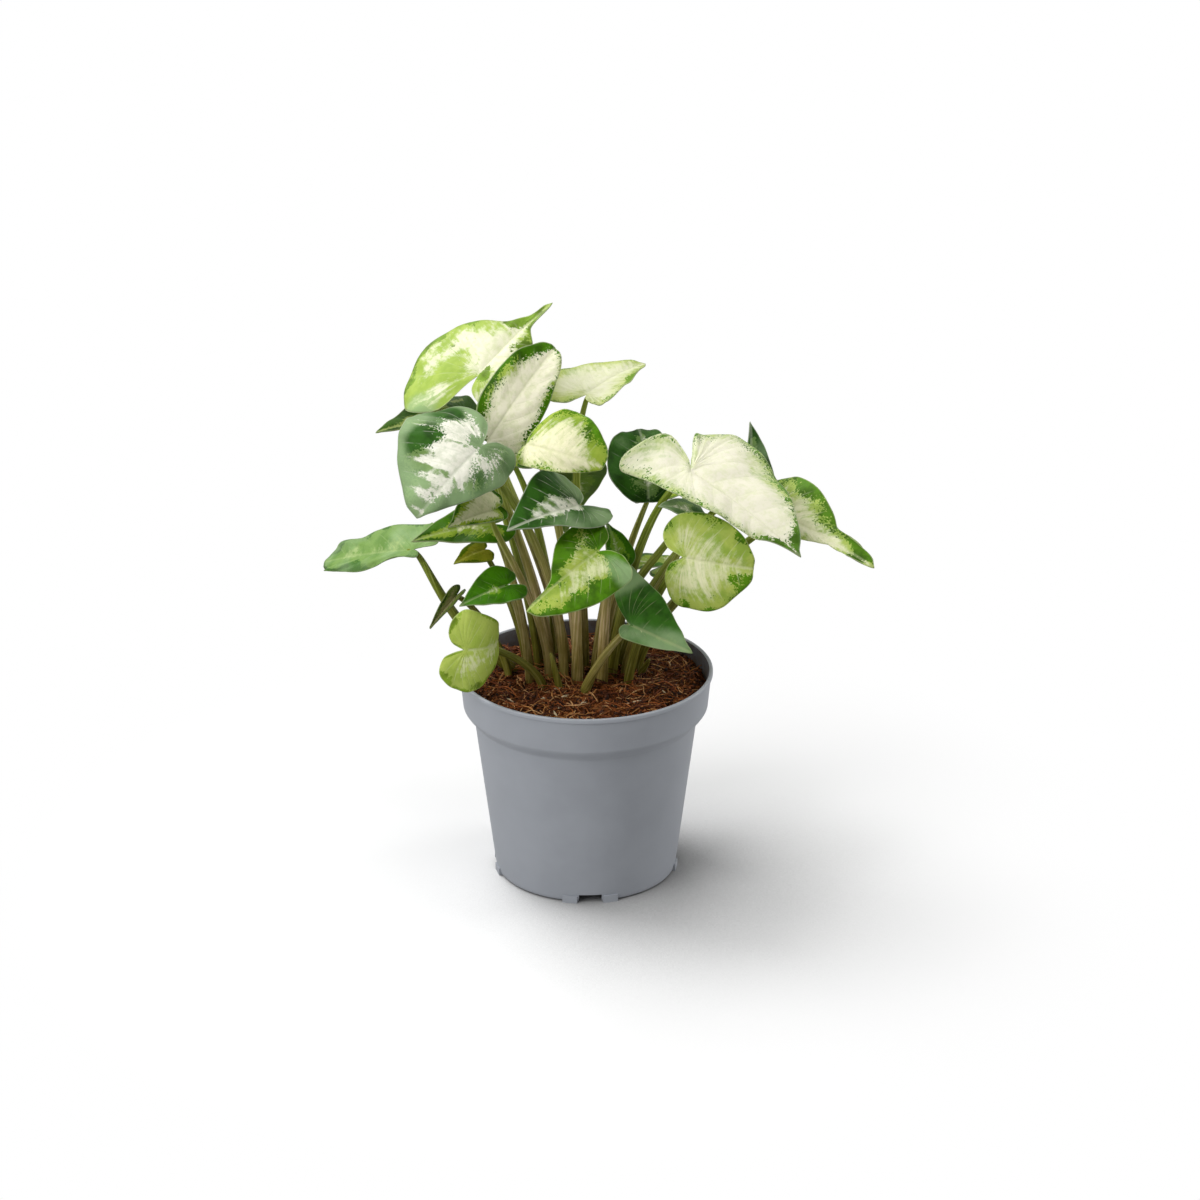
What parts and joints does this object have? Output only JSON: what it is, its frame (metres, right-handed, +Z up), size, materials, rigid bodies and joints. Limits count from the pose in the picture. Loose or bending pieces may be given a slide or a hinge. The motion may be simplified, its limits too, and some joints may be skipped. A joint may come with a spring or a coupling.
{
  "type": "potted syngonium plant",
  "caption": "Arrowhead plant in a round grey nursery pot, with cream and green variegated leaves on slender petioles over coir soil.",
  "frame": {"origin": "centre of the pot's foot ring, on the surface that the pot stands on", "axes": "+Z up, -Y towards the plant's front, +X to the right of someone who looks at the front"},
  "size_m": [0.2571, 0.1497, 0.267],
  "materials": {
    "pot_plastic": "satin",
    "coir_soil": "matte",
    "leaf_cream": "satin",
    "leaf_green": "satin",
    "leaf_dark": "satin",
    "petiole": "satin"
  },
  "bodies": {
    "root": {"pot": "pot_plastic", "soil": "coir_soil", "leaf_top_left": "leaf_cream", "leaf_top_cream": "leaf_cream", "leaf_left_round": "leaf_cream", "leaf_left_under": "leaf_cream", "leaf_left_green": "leaf_green", "leaf_far_left": "leaf_green", "leaf_left_hanging": "leaf_green", "leaf_low_left": "leaf_dark", "leaf_curled": "leaf_dark", "leaf_over_rim": "leaf_green", "leaf_centre_dark": "leaf_dark", "leaf_dome": "leaf_cream", "leaf_top_right": "leaf_cream", "leaf_right_cream": "leaf_cream", "leaf_far_right": "leaf_cream", "leaf_behind_right": "leaf_dark", "leaf_inner_right": "leaf_dark", "leaf_right_round": "leaf_green", "leaf_small_right": "leaf_green", "leaf_centre_low": "leaf_green", "leaf_low_right": "leaf_dark", "leaf_strip": "leaf_dark", "leaf_left_fold": "leaf_dark", "leaf_back_left": "leaf_green", "leaf_back_middle": "leaf_green", "leaf_back_right": "leaf_cream", "leaf_back_low": "leaf_green", "petiole_top_left": "petiole", "petiole_top_cream": "petiole", "petiole_left_round": "petiole", "petiole_left_under": "petiole", "petiole_left_green": "petiole", "petiole_far_left": "petiole", "petiole_left_hanging": "petiole", "petiole_low_left": "petiole", "petiole_curled": "petiole", "petiole_over_rim": "petiole", "petiole_centre_dark": "petiole", "petiole_dome": "petiole", "petiole_top_right": "petiole", "petiole_right_cream": "petiole", "petiole_far_right": "petiole", "petiole_behind_right": "petiole", "petiole_inner_right": "petiole", "petiole_right_round": "petiole", "petiole_small_right": "petiole", "petiole_centre_low": "petiole", "petiole_low_right": "petiole", "petiole_strip": "petiole", "petiole_left_fold": "petiole", "petiole_back_left": "petiole", "petiole_back_middle": "petiole", "petiole_back_right": "petiole", "petiole_back_low": "petiole", "shoot_left": "petiole", "shoot_right": "petiole"}
  },
  "joints": []
}
